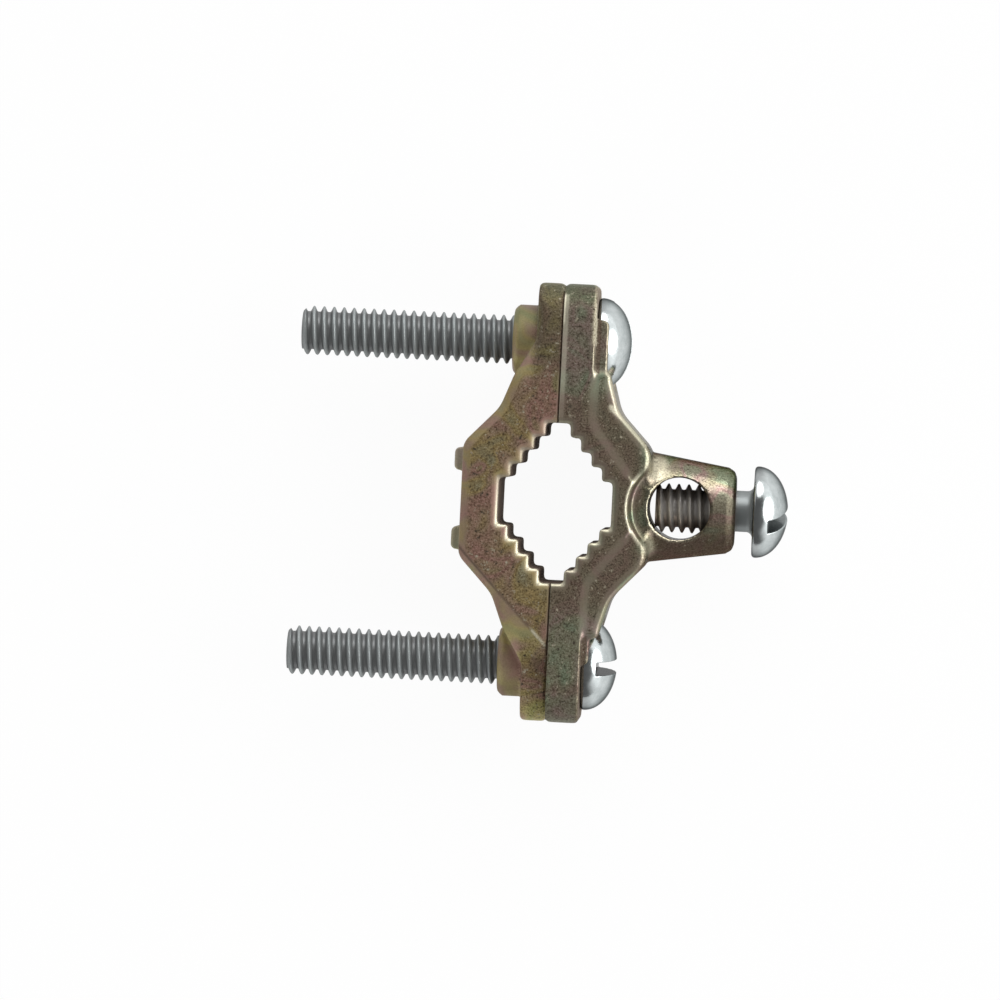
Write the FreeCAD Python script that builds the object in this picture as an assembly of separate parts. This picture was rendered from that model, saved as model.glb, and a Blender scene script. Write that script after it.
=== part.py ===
import FreeCAD, Part

import math
import os

# Water-pipe ground clamp for pipe from 1/2 to 1 inch.
# Two die-cast jaws are drawn together by two slotted round-head machine screws, 1/4 inch with 20 threads
# per inch. The right-hand jaw also carries a round wire lug, where a shorter screw pinches the ground wire.
#
# Millimetres. The origin is on the pipe axis at mid depth. +X runs through the wire lug towards the head of
# its set screw, +Y towards the upper clamp screw, and +Z along the pipe. The jaws meet on the plane X = 0.
# The clamp lies on the flat sides of its jaws.

Vector = FreeCAD.Vector

# Pipe opening, which both jaws share as mirror images
TOOTH_COUNT = 4
TOOTH_RUN = 1.4
TOOTH_RISE = 1.775
OPENING_END_HALF_WIDTH = 1.55
OPENING_HALF_HEIGHT = 10.08
TOOTH_BEVEL = 0.2
OPENING_HALF_WIDTH = OPENING_END_HALF_WIDTH + TOOTH_COUNT * TOOTH_RUN

# Jaws
JAW_HALF_LENGTH = 27.7
JAW_HALF_DEPTH = 8.0
SCREW_TO_EAR_END = 7.35
SCREW_OFFSET = JAW_HALF_LENGTH - SCREW_TO_EAR_END
EAR_CORNER_RADIUS = 4.1
CORNER_ROUNDING = 0.6
WALL_BEHIND_OPENING = 4.75
BACK_HALF_HEIGHT = 7.1
SHOULDER_ROUNDING = 2.2
ARM_KNEE_WIDTH = 7.5
ARM_KNEE_HEIGHT = 11.75
ARM_KNEE_ROUNDING = 4.5
BACK_FACE = OPENING_HALF_WIDTH + WALL_BEHIND_OPENING

# Lug jaw
LUG_EAR_THICKNESS = 4.15
LUG_ARM_TIP_WIDTH = 6.1
LUG_ARM_TIP_HEIGHT = 16.8
LUG_ARM_TIP_ROUNDING = 0.7
LUG_EDGE_BEVEL = 0.4
CLEARANCE_HOLE_RADIUS = 3.45
SEAT_CLEARANCE = 0.3
RIB_SETBACK = 0.3
BAND_WIDTH = 2.5
LONG_GUARD_THICKNESS = 1.6
LONG_GUARD_LENGTH = 6.45
SHORT_GUARD_THICKNESS = 1.0
SHORT_GUARD_LENGTH = 3.4
GUARD_SETBACK = 0.8
GUARD_ROUNDING = 0.8

# Wire lug
LUG_END = 22.65
LUG_END_RADIUS = 5.3
LUG_HALF_TAPER = 8.8
LUG_END_ROUNDING = 1.3
LUG_END_BEVELS = 2
WIRE_HOLE_PLACE = 15.55
WIRE_HOLE_RADIUS = 3.93
SPOT_FACE_RADIUS = 5.88
SPOT_FACE_LEVEL = 6.6
SPOT_FACE_WALL_SPREAD = 0.5

# Tapped jaw
TAPPED_EAR_THICKNESS = 3.3
TAPPED_ARM_TIP_WIDTH = 5.95
TAPPED_ARM_TIP_HEIGHT = 15.8
TAPPED_ARM_TIP_ROUNDING = 2.0
TAPPED_EDGE_BEVEL = 0.9
BOSS_END = 6.5
BOSS_RADIUS = 4.5
BOSS_END_BEVEL = 0.6
GUSSET_HALF_DEPTH = 3.2
EAR_RELIEF_DEPTH = 1.65
RELIEF_START_AT_SEAM = 18.3
RELIEF_START_AT_BACK = 5.9
RELIEF_FOOT = 19.6
BACK_PAD_OFFSET = 5.0
BACK_PAD_LENGTH = 2.9
BACK_PAD_HALF_DEPTH = 4.0
BACK_PAD_HEIGHT = 1.2
BACK_PAD_BEVEL = 0.4

# Screws
SHANK_RADIUS = 3.1
THREAD_CLEARANCE = 0.05
CLAMP_SCREW_LENGTH = 37.5
SET_SCREW_LENGTH = 12.35
SET_SCREW_HEAD_GAP = 2.2
HEAD_RADIUS = 5.8
HEAD_HEIGHT = 4.42
HEAD_RIM = 0.9
NECK_FLARE = 0.35
TIP_CHAMFER = 0.7
SLOT_WIDTH = 1.7
SLOT_DEPTH = 2.5
UPPER_SLOT_TURN = 84.0
LOWER_SLOT_TURN = 4.0
SET_SLOT_TURN = 20.0
TAPPED_BORE_RADIUS = SHANK_RADIUS + THREAD_CLEARANCE
SEAT_RADIUS = HEAD_RADIUS + SEAT_CLEARANCE

# How far cutters reach past what they cut, and how near two places count as one
OVERSHOOT = 2.0
TOUCH = 0.01

X_AXIS = Vector(1, 0, 0)
Y_AXIS = Vector(0, 1, 0)
Z_AXIS = Vector(0, 0, 1)
MIDDLE = Vector(0, 0, 0)


def rounded_wire(corners, place):
    """Closed wire through corners (u, v, radius), with every corner rounded and place(u, v) as its point."""
    edges = []
    first_point = None
    last_point = None
    for index, (u, v, radius) in enumerate(corners):
        here = place(u, v)
        u_before, v_before, _ = corners[index - 1]
        u_after, v_after, _ = corners[(index + 1) % len(corners)]
        back = (place(u_before, v_before) - here).normalize()
        ahead = (place(u_after, v_after) - here).normalize()
        half_angle = back.getAngle(ahead) / 2
        reach = radius / math.tan(half_angle)
        start = here + back * reach
        end = here + ahead * reach
        if last_point is not None:
            edges.append(Part.LineSegment(last_point, start).toShape())
        else:
            first_point = start
        if radius > 0:
            inward = (back + ahead).normalize()
            middle = here + inward * (radius / math.sin(half_angle) - radius)
            edges.append(Part.Arc(start, middle, end).toShape())
        last_point = end
    edges.append(Part.LineSegment(last_point, first_point).toShape())
    return Part.Wire(edges)


def front_view(x, y):
    """Point of an outline that is drawn as seen along the pipe."""
    return Vector(x, y, 0)


def both_sides(corners, half_depth):
    """Solid of an outline seen along the pipe, as deep on both sides of the middle."""
    face = Part.Face(rounded_wire(corners, front_view))
    face.translate(Vector(0, 0, -half_depth))
    return face.extrude(Vector(0, 0, 2 * half_depth))


def with_lower_half(upper_half):
    """Corner list of a whole outline from its upper half, which runs from the back to the opening."""
    lower_half = [(x, -y, radius) for x, y, radius in reversed(upper_half)]
    return upper_half + lower_half


def tooth_corners(side):
    """Corners of the stepped teeth from the top of the opening to its flat wall, on one side of the seam.

    Every corner of a step is cut by a small bevel.
    """
    corners = [(0.0, OPENING_HALF_HEIGHT, 0.0)]
    for tooth in range(TOOTH_COUNT):
        width = OPENING_END_HALF_WIDTH + tooth * TOOTH_RUN
        top = OPENING_HALF_HEIGHT - tooth * TOOTH_RISE
        corners.append((side * (width - TOOTH_BEVEL), top, 0.0))
        corners.append((side * width, top - TOOTH_BEVEL, 0.0))
        corners.append((side * width, top - TOOTH_RISE + TOOTH_BEVEL, 0.0))
        corners.append((side * (width + TOOTH_BEVEL), top - TOOTH_RISE, 0.0))
    wall_top = OPENING_HALF_HEIGHT - TOOTH_COUNT * TOOTH_RISE
    corners.append((side * (OPENING_HALF_WIDTH - TOOTH_BEVEL), wall_top, 0.0))
    corners.append((side * OPENING_HALF_WIDTH, wall_top - TOOTH_BEVEL, 0.0))
    return corners


def rounded_ends(half_depth):
    """Long block that rounds the ends of the jaws, as seen along X."""
    corners = [
        (side * JAW_HALF_LENGTH, face * half_depth, EAR_CORNER_RADIUS)
        for side, face in ((-1, -1), (1, -1), (1, 1), (-1, 1))
    ]
    reach = LUG_END + SET_SCREW_LENGTH
    wire = rounded_wire(corners, lambda y, z: Vector(-reach, y, z))
    return Part.Face(wire).extrude(Vector(2 * reach, 0, 0))


def along_x(radius, start, end, y=0.0):
    """Cylinder along X from start to end at height y."""
    return Part.makeCylinder(radius, end - start, Vector(start, y, 0), X_AXIS)


def soften_outer_edges(jaw, side, width):
    """Bevels the front and rear edges of a jaw's arms, from the ears to the back."""
    chosen = []
    for edge in jaw.Edges:
        middle = edge.CenterOfMass
        across = edge.BoundBox.ZLength < TOUCH
        outside = side * middle.x > ARM_KNEE_WIDTH
        if across and outside and BACK_HALF_HEIGHT < abs(middle.y) < ARM_KNEE_HEIGHT:
            chosen.append(edge)
    return jaw.makeChamfer(width, chosen)


def guard(thickness, start, length):
    """Low pad on the outer face of a lug jaw ear, in front of the screw head."""
    corners = [
        (0.0, start - OVERSHOOT, 0.0),
        (LUG_EAR_THICKNESS + thickness, start - OVERSHOOT, 0.0),
        (LUG_EAR_THICKNESS + thickness, start + length, GUARD_ROUNDING),
        (0.0, start + length, 0.0),
    ]
    face = Part.Face(rounded_wire(corners, front_view))
    return face.extrude(Vector(0, 0, JAW_HALF_DEPTH - GUARD_SETBACK))


def turned_over(shape):
    """Copy turned half a turn about X, which puts a front upper feature at the lower rear."""
    copy = shape.copy()
    copy.rotate(MIDDLE, X_AXIS, 180)
    return copy


def make_wire_lug():
    """Tapered round boss that points along X, with its end rounded by a few narrow bevels."""
    taper = math.radians(LUG_HALF_TAPER)
    root = OPENING_HALF_WIDTH + WALL_BEHIND_OPENING / 2

    def side_radius(x):
        """Radius of the tapered side at x."""
        return LUG_END_RADIUS + (LUG_END - x) * math.tan(taper)

    centre_x = LUG_END - LUG_END_ROUNDING
    centre_radius = side_radius(centre_x) - LUG_END_ROUNDING / math.cos(taper)
    profile = [Vector(root, 0, 0), Vector(root, side_radius(root), 0)]
    for bevel in range(LUG_END_BEVELS + 1):
        turn = taper + (math.pi / 2 - taper) * bevel / LUG_END_BEVELS
        across = centre_radius + LUG_END_ROUNDING * math.cos(turn)
        profile.append(Vector(centre_x + LUG_END_ROUNDING * math.sin(turn), across, 0))
    profile += [Vector(LUG_END, 0, 0), Vector(root, 0, 0)]
    return Part.Face(Part.makePolygon(profile)).revolve(MIDDLE, X_AXIS, 360)


def make_lug_jaw():
    """Jaw with plain ears under the screw heads, and the wire lug."""
    outer_edge = [
        (BACK_FACE, BACK_HALF_HEIGHT, SHOULDER_ROUNDING),
        (ARM_KNEE_WIDTH, ARM_KNEE_HEIGHT, ARM_KNEE_ROUNDING),
        (LUG_ARM_TIP_WIDTH, LUG_ARM_TIP_HEIGHT, LUG_ARM_TIP_ROUNDING),
        (LUG_EAR_THICKNESS, LUG_ARM_TIP_HEIGHT, LUG_ARM_TIP_ROUNDING),
        (LUG_EAR_THICKNESS, JAW_HALF_LENGTH, CORNER_ROUNDING),
        (0.0, JAW_HALF_LENGTH, CORNER_ROUNDING),
    ]
    outline = with_lower_half(outer_edge + tooth_corners(1))
    arms = both_sides(outline, JAW_HALF_DEPTH - RIB_SETBACK)
    arms = soften_outer_edges(arms, 1, LUG_EDGE_BEVEL)

    # Raised band of the ear's thickness that follows the teeth
    slope = TOOTH_RUN / TOOTH_RISE
    band_turn = OPENING_HALF_HEIGHT - (LUG_EAR_THICKNESS - BAND_WIDTH - OPENING_END_HALF_WIDTH) / slope
    band_end = OPENING_HALF_WIDTH + WALL_BEHIND_OPENING / 2
    band_edge = [
        (band_end, band_turn - (band_end - LUG_EAR_THICKNESS) / slope, 0.0),
        (LUG_EAR_THICKNESS, band_turn, SHOULDER_ROUNDING),
        (LUG_EAR_THICKNESS, JAW_HALF_LENGTH, CORNER_ROUNDING),
        (0.0, JAW_HALF_LENGTH, CORNER_ROUNDING),
    ]
    band = both_sides(with_lower_half(band_edge + tooth_corners(1)), JAW_HALF_DEPTH)
    jaw = arms.fuse(band).common(rounded_ends(JAW_HALF_DEPTH))

    long_guard = guard(LONG_GUARD_THICKNESS, LUG_ARM_TIP_HEIGHT, LONG_GUARD_LENGTH)
    short_guard = guard(SHORT_GUARD_THICKNESS, LUG_ARM_TIP_HEIGHT, SHORT_GUARD_LENGTH)
    lower_front_guard = short_guard.mirror(MIDDLE, Y_AXIS)
    upper_rear_guard = turned_over(lower_front_guard)
    jaw = jaw.fuse([long_guard, turned_over(long_guard), lower_front_guard, upper_rear_guard])
    jaw = jaw.fuse(make_wire_lug())

    reach = JAW_HALF_DEPTH + OVERSHOOT
    wire_hole = Part.makeCylinder(WIRE_HOLE_RADIUS, 2 * reach, Vector(WIRE_HOLE_PLACE, 0, -reach), Z_AXIS)
    front_spot_face = spot_face()
    cuts = [
        along_x(CLEARANCE_HOLE_RADIUS, -OVERSHOOT, BACK_FACE, SCREW_OFFSET),
        along_x(CLEARANCE_HOLE_RADIUS, -OVERSHOOT, BACK_FACE, -SCREW_OFFSET),
        along_x(SEAT_RADIUS, LUG_EAR_THICKNESS, BACK_FACE, SCREW_OFFSET),
        along_x(SEAT_RADIUS, LUG_EAR_THICKNESS, BACK_FACE, -SCREW_OFFSET),
        along_x(TAPPED_BORE_RADIUS, WIRE_HOLE_PLACE, LUG_END + OVERSHOOT),
        wire_hole,
        front_spot_face,
        turned_over(front_spot_face),
    ]
    return jaw.cut(cuts).removeSplitter()


def spot_face():
    """Cutter for the front spot face about the wire hole, whose wall spreads towards the front."""
    height = JAW_HALF_DEPTH + OVERSHOOT - SPOT_FACE_LEVEL
    outer_radius = SPOT_FACE_RADIUS + height * SPOT_FACE_WALL_SPREAD
    floor_middle = Vector(WIRE_HOLE_PLACE, 0, SPOT_FACE_LEVEL)
    return Part.makeCone(SPOT_FACE_RADIUS, outer_radius, height, floor_middle, Z_AXIS)


def ear_relief():
    """Cutter that sets the lower ear back from the front face behind a slanted, slightly twisted facet."""
    level = JAW_HALF_DEPTH - EAR_RELIEF_DEPTH
    outside = JAW_HALF_DEPTH + OVERSHOOT
    beyond = JAW_HALF_LENGTH + OVERSHOOT

    def section(x, start):
        """Outline of the cutter at x, where its facet leaves the front face at the distance start."""
        corners = [
            (-start, outside, 0.0),
            (-start, JAW_HALF_DEPTH, 0.0),
            (-RELIEF_FOOT, level, 0.0),
            (-JAW_HALF_LENGTH, level, EAR_CORNER_RADIUS),
            (-JAW_HALF_LENGTH, 0.0, 0.0),
            (-beyond, 0.0, 0.0),
            (-beyond, outside, 0.0),
        ]
        return rounded_wire(corners, lambda y, z: Vector(x, y, z))

    return Part.makeLoft(
        [section(0.0, RELIEF_START_AT_SEAM), section(-BACK_FACE, RELIEF_START_AT_BACK)], True, True
    )


def make_boss(side):
    """Round boss about a clamp screw on the tapped jaw, with the gusset that joins it to the arm."""
    centre = side * SCREW_OFFSET
    boss = along_x(BOSS_RADIUS, -BOSS_END, -TAPPED_EAR_THICKNESS / 2, centre)
    end_edges = [edge for edge in boss.Edges if edge.BoundBox.XMax < -BOSS_END + TOUCH]
    boss = boss.makeChamfer(BOSS_END_BEVEL, end_edges)
    corners = [
        (0.0, side * ARM_KNEE_HEIGHT, 0.0),
        (-ARM_KNEE_WIDTH + CORNER_ROUNDING, side * ARM_KNEE_HEIGHT, 0.0),
        (-TAPPED_ARM_TIP_WIDTH, side * TAPPED_ARM_TIP_HEIGHT, TAPPED_ARM_TIP_ROUNDING),
        (-BOSS_END, side * (SCREW_OFFSET - BOSS_RADIUS / 2), BOSS_END_BEVEL),
        (-BOSS_END, side * SCREW_OFFSET, 0.0),
        (0.0, side * SCREW_OFFSET, 0.0),
    ]
    return boss.fuse(both_sides(corners, GUSSET_HALF_DEPTH))


def back_pad(side):
    """Small plain raised pad on the back of the tapped jaw."""
    low = Vector(
        -BACK_FACE - BACK_PAD_HEIGHT,
        side * BACK_PAD_OFFSET - BACK_PAD_LENGTH / 2,
        -BACK_PAD_HALF_DEPTH,
    )
    pad = Part.makeBox(BACK_PAD_HEIGHT * 2, BACK_PAD_LENGTH, 2 * BACK_PAD_HALF_DEPTH, low)
    rim = [edge for edge in pad.Edges if edge.BoundBox.XMax < low.x + TOUCH]
    return pad.makeChamfer(BACK_PAD_BEVEL, rim)


def make_tapped_jaw():
    """Jaw whose ears carry the tapped bosses."""
    outer_edge = [
        (-BACK_FACE, BACK_HALF_HEIGHT, SHOULDER_ROUNDING),
        (-ARM_KNEE_WIDTH, ARM_KNEE_HEIGHT, ARM_KNEE_ROUNDING),
        (-TAPPED_ARM_TIP_WIDTH, TAPPED_ARM_TIP_HEIGHT, TAPPED_ARM_TIP_ROUNDING),
        (-TAPPED_EAR_THICKNESS, SCREW_OFFSET, TAPPED_ARM_TIP_ROUNDING),
        (-TAPPED_EAR_THICKNESS, JAW_HALF_LENGTH, CORNER_ROUNDING),
        (0.0, JAW_HALF_LENGTH, CORNER_ROUNDING),
    ]
    outline = with_lower_half(outer_edge + tooth_corners(-1))
    jaw = both_sides(outline, JAW_HALF_DEPTH)
    jaw = soften_outer_edges(jaw, -1, TAPPED_EDGE_BEVEL).common(rounded_ends(JAW_HALF_DEPTH))
    relief = ear_relief()
    jaw = jaw.cut([relief, turned_over(relief)])
    jaw = jaw.fuse([make_boss(1), make_boss(-1), back_pad(1), back_pad(-1)])
    cuts = [
        along_x(TAPPED_BORE_RADIUS, -BOSS_END - OVERSHOOT, OVERSHOOT, SCREW_OFFSET),
        along_x(TAPPED_BORE_RADIUS, -BOSS_END - OVERSHOOT, OVERSHOOT, -SCREW_OFFSET),
    ]
    return jaw.cut(cuts).removeSplitter()


def make_screw(length, head_base, y, slot_turn):
    """Slotted round-head screw along X, with its shank at the thread's outer size.

    slot_turn is the angle in degrees from the depth direction, and a positive turn takes the near end down.
    """
    dome_height = HEAD_HEIGHT - HEAD_RIM
    dome_radius = (HEAD_RADIUS**2 + dome_height**2) / (2 * dome_height)
    dome_middle = Vector(HEAD_HEIGHT - dome_radius, 0, 0)
    rim_angle = math.asin(HEAD_RADIUS / dome_radius)
    half_way = Vector(math.cos(rim_angle / 2), math.sin(rim_angle / 2), 0)
    apex = Vector(HEAD_HEIGHT, 0, 0)
    rim = Vector(HEAD_RIM, HEAD_RADIUS, 0)
    dome = Part.Arc(apex, dome_middle + half_way * dome_radius, rim)
    shank_path = [
        rim,
        Vector(0, HEAD_RADIUS - HEAD_RIM, 0),
        Vector(0, SHANK_RADIUS + NECK_FLARE, 0),
        Vector(-NECK_FLARE, SHANK_RADIUS, 0),
        Vector(TIP_CHAMFER - length, SHANK_RADIUS, 0),
        Vector(-length, SHANK_RADIUS - TIP_CHAMFER, 0),
        Vector(-length, 0, 0),
        apex,
    ]
    outline = [
        Part.LineSegment(start, end).toShape()
        for start, end in zip(shank_path, shank_path[1:])
    ]
    screw = Part.Face(Part.Wire([dome.toShape()] + outline)).revolve(MIDDLE, X_AXIS, 360)
    slot = Part.makeBox(
        SLOT_DEPTH + OVERSHOOT,
        SLOT_WIDTH,
        4 * HEAD_RADIUS,
        Vector(HEAD_HEIGHT - SLOT_DEPTH, -SLOT_WIDTH / 2, -2 * HEAD_RADIUS),
    )
    slot.rotate(MIDDLE, X_AXIS, slot_turn)
    screw = screw.cut(slot)
    screw.translate(Vector(head_base, y, 0))
    return screw


def main():
    """Builds every piece and writes one STEP file for each."""
    set_screw_base = LUG_END + SET_SCREW_HEAD_GAP
    pieces = {
        "lug_jaw": make_lug_jaw(),
        "tapped_jaw": make_tapped_jaw(),
        "upper_clamp_screw": make_screw(
            CLAMP_SCREW_LENGTH, LUG_EAR_THICKNESS, SCREW_OFFSET, UPPER_SLOT_TURN
        ),
        "lower_clamp_screw": make_screw(
            CLAMP_SCREW_LENGTH, LUG_EAR_THICKNESS, -SCREW_OFFSET, LOWER_SLOT_TURN
        ),
        "set_screw": make_screw(SET_SCREW_LENGTH, set_screw_base, 0.0, SET_SLOT_TURN),
    }
    os.makedirs("parts", exist_ok=True)
    for name, shape in pieces.items():
        shape.exportStep(f"parts/{name}.step")
        box = shape.BoundBox
        print(name, shape.isValid(), len(shape.Solids), round(shape.Volume, 1),
              [round(v, 2) for v in (box.XMin, box.XMax, box.YMin, box.YMax, box.ZMin, box.ZMax)])


main()
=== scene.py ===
"""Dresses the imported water-pipe ground clamp.

The two jaws are die-cast zinc with a yellow chromate plating. The three slotted screws are zinc-plated steel
with a rolled 1/4 inch thread of 20 threads per inch. Sizes are in millimetres until a mesh is finished, and
every finished mesh is in metres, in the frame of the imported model.
"""

from __future__ import annotations

import logging
import math
from dataclasses import dataclass, field
from enum import Enum
from functools import partial
from typing import Callable, Optional, Union

import bmesh
import bpy
import numpy as np
from bmesh.types import BMEdge, BMesh, BMVert
from bpy.types import ID, Material, Mesh, Node, NodeSocket, NodeTree, Object, World
from mathutils import Matrix, Vector

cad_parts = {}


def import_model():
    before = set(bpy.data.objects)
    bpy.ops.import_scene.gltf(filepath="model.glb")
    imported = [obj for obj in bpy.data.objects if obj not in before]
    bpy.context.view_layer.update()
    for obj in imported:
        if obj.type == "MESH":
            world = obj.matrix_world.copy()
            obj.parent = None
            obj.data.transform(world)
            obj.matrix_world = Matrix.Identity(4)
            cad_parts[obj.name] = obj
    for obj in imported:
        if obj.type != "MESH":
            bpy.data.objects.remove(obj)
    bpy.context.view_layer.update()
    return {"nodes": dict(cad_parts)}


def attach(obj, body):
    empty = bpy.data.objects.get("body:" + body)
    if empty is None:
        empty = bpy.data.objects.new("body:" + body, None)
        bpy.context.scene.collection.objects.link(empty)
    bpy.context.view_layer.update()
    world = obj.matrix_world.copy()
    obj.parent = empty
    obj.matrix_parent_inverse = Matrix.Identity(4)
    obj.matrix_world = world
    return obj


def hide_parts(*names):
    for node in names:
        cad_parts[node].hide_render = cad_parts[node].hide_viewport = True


LOG = logging.getLogger("ground_clamp")
METRES_PER_MM = 0.001

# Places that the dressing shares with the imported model
SCREW_OFFSET = 20.35
LUG_EAR_THICKNESS = 4.15
JAW_HALF_DEPTH = 8.0
WIRE_HOLE_PLACE = 15.55
OPENING_HALF_HEIGHT = 10.08
OPENING_END_HALF_WIDTH = 1.55
TOOTH_COUNT = 4
TOOTH_RUN = 1.4
TOOTH_RISE = 1.775

# Masks that the meshes carry and the finishes read
CASTING_MASKS = ("pressed_face", "gilding", "green_film", "clear_film", "polish", "bare", "tarnish")
SCREW_MASKS = ("groove", "rolled", "stain")

Points = np.ndarray
NodeSettings = dict[Union[str, int], Union[float, str, tuple, list, NodeSocket]]
NodeAdder = Callable[..., Node]
RadiusLaw = Callable[[Points], Points]
Pair = tuple[float, float]


class JawSide(Enum):
    """Side of the pipe that a jaw stands on, as the sign of its X."""

    TAPPED = -1
    LUG = 1


# Small helpers


def linear(hex_colour: str, alpha: float = 1.0) -> tuple[float, float, float, float]:
    """Turns an sRGB hex colour to linear light.

    Args:
        hex_colour: Colour as "#RRGGBB".
        alpha: Alpha that is added to it.

    Returns:
        Linear red, green and blue, and the alpha.
    """
    channels = [int(hex_colour[start:start + 2], 16) / 255 for start in (1, 3, 5)]
    red, green, blue = [
        value / 12.92 if value <= 0.04045 else ((value + 0.055) / 1.055) ** 2.4 for value in channels
    ]
    return red, green, blue, alpha


def add_node(tree: NodeTree, kind: str, settings: Optional[NodeSettings] = None) -> Node:
    """Adds a node with its settings and links.

    Args:
        tree: Node tree that gets the node.
        kind: Type of the shader node, without the first part that all of them share.
        settings: Values by name. A lower-case name is a property of the node, "stops" is the list of
            (place, hex colour) of a colour ramp, and any other name or number is an input socket, whose
            value may be the output socket that feeds it.

    Returns:
        The new node.
    """
    node = tree.nodes.new("ShaderNode" + kind)
    for key, value in (settings or {}).items():
        if key == "stops":
            elements = node.color_ramp.elements
            while len(elements) < len(value):
                elements.new(1.0)
            for element, (place, colour) in zip(elements, value):
                element.position = place
                element.color = linear(colour)
        elif isinstance(key, str) and key.islower():
            setattr(node, key, value)
        elif isinstance(value, NodeSocket):
            tree.links.new(value, node.inputs[key])
        elif isinstance(value, str):
            node.inputs[key].default_value = linear(value)
        else:
            node.inputs[key].default_value = value
    return node


def per_metre(size_mm: float) -> float:
    """Noise scale that gives features of size_mm in object coordinates, which are in metres."""
    return 1.0 / (size_mm * METRES_PER_MM)


def ramp(low: float, high: float, values: Points) -> Points:
    """Rises from 0 at low to 1 at high, with no corner at either end."""
    share = np.clip((values - low) / (high - low), 0.0, 1.0)
    return share * share * (3 - 2 * share)


def vertex_places(mesh: Mesh) -> Points:
    """Positions of a mesh's vertices, one row each."""
    flat = np.empty(len(mesh.vertices) * 3, dtype=np.float32)
    mesh.vertices.foreach_get("co", flat)
    return flat.reshape(-1, 3).astype(float)


def vertex_normals(mesh: Mesh) -> Points:
    """Normals of a mesh's vertices, one row each."""
    flat = np.empty(len(mesh.vertices) * 3, dtype=np.float32)
    mesh.vertex_normals.foreach_get("vector", flat)
    return flat.reshape(-1, 3).astype(float)


def move_vertices(mesh: Mesh, places: Points) -> None:
    """Gives a mesh's vertices new positions."""
    mesh.vertices.foreach_set("co", places.astype(np.float32).ravel())
    mesh.update()


def largest(*shares: Points) -> Points:
    """Largest of several shares, for each vertex."""
    return np.maximum.reduce(shares)


def store_masks(mesh: Mesh, masks: dict[str, Points]) -> None:
    """Keeps one number a vertex on the mesh for each mask, for its finish to read."""
    for name, values in masks.items():
        mask = mesh.attributes.new(name, "FLOAT", "POINT")
        mask.data.foreach_set("value", values.astype(np.float32))


def add_object(name: str, data: ID) -> Object:
    """Makes an object of a mesh, light or camera and puts it in the scene."""
    thing = bpy.data.objects.new(name, data)
    bpy.context.scene.collection.objects.link(thing)
    return thing


def modified(mesh: Mesh, modifiers: list[tuple[str, dict[str, object]]]) -> Mesh:
    """Applies modifiers to a mesh.

    Args:
        mesh: Mesh to change, which is used up.
        modifiers: Type of each modifier and its settings.

    Returns:
        The changed mesh.
    """
    holder = add_object("holder", mesh)
    for kind, settings in modifiers:
        modifier = holder.modifiers.new(kind, kind)
        for key, value in settings.items():
            setattr(modifier, key, value)
    graph = bpy.context.evaluated_depsgraph_get()
    result = bpy.data.meshes.new_from_object(holder.evaluated_get(graph))
    bpy.data.objects.remove(holder)
    return result


def add_strips(body: BMesh, rows: list[list[BMVert]]) -> None:
    """Adds the faces between rows of vertices, but for those that have shrunk to a line.

    Args:
        body: Body that gets the faces.
        rows: Its vertices, in rows of the same length.
    """
    for row, ahead in zip(rows, rows[1:]):
        for corners in zip(row, row[1:], ahead[1:], ahead):
            if len(set(corners)) == len(corners):
                body.faces.new(corners)


def smooth_mesh(body: BMesh, mesh: Mesh) -> Mesh:
    """Writes a body to a mesh with smooth shading.

    Args:
        body: Body that is used up.
        mesh: Mesh that takes its shape.

    Returns:
        The same mesh.
    """
    for face in body.faces:
        face.smooth = True
    body.to_mesh(mesh)
    body.free()
    return mesh


def add_piece(mesh: Mesh, name: str, material: Material, body: str, node: str) -> Object:
    """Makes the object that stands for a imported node.

    Args:
        mesh: Finished mesh in millimetres.
        name: Name of the piece.
        material: Finish of the whole piece.
        body: Body that carries it.
        node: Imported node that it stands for.

    Returns:
        The new object.
    """
    mesh.transform(Matrix.Scale(METRES_PER_MM, 4))
    mesh.name = name
    mesh.materials.clear()
    mesh.materials.append(material)
    piece = add_object(name, mesh)
    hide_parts(node)
    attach(piece, body)
    mesh.calc_loop_triangles()
    LOG.info("%s rides on %s: %d triangles", name, body, len(mesh.loop_triangles))
    return piece


# Finishes


def node_adder(owner: Union[Material, World]) -> NodeAdder:
    """Empties the node tree of a material or world, and gives add_node for that tree."""
    owner.use_nodes = True
    owner.node_tree.nodes.clear()
    return partial(add_node, owner.node_tree)


def lay_over(
    add: NodeAdder, base: NodeSocket, layers: list[tuple[NodeSocket, Union[str, NodeSocket]]]
) -> NodeSocket:
    """Lays tints over a colour, one after the other.

    Args:
        add: Adds a node to the finish.
        base: Colour under all the layers.
        layers: How much each layer covers, and its hex colour or the socket that gives its colour.

    Returns:
        Socket of the resulting colour.
    """
    colour = base
    for share, tint in layers:
        colour = add("Mix", {"data_type": "RGBA", 0: share, 6: colour, 7: tint}).outputs[2]
    return colour


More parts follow.
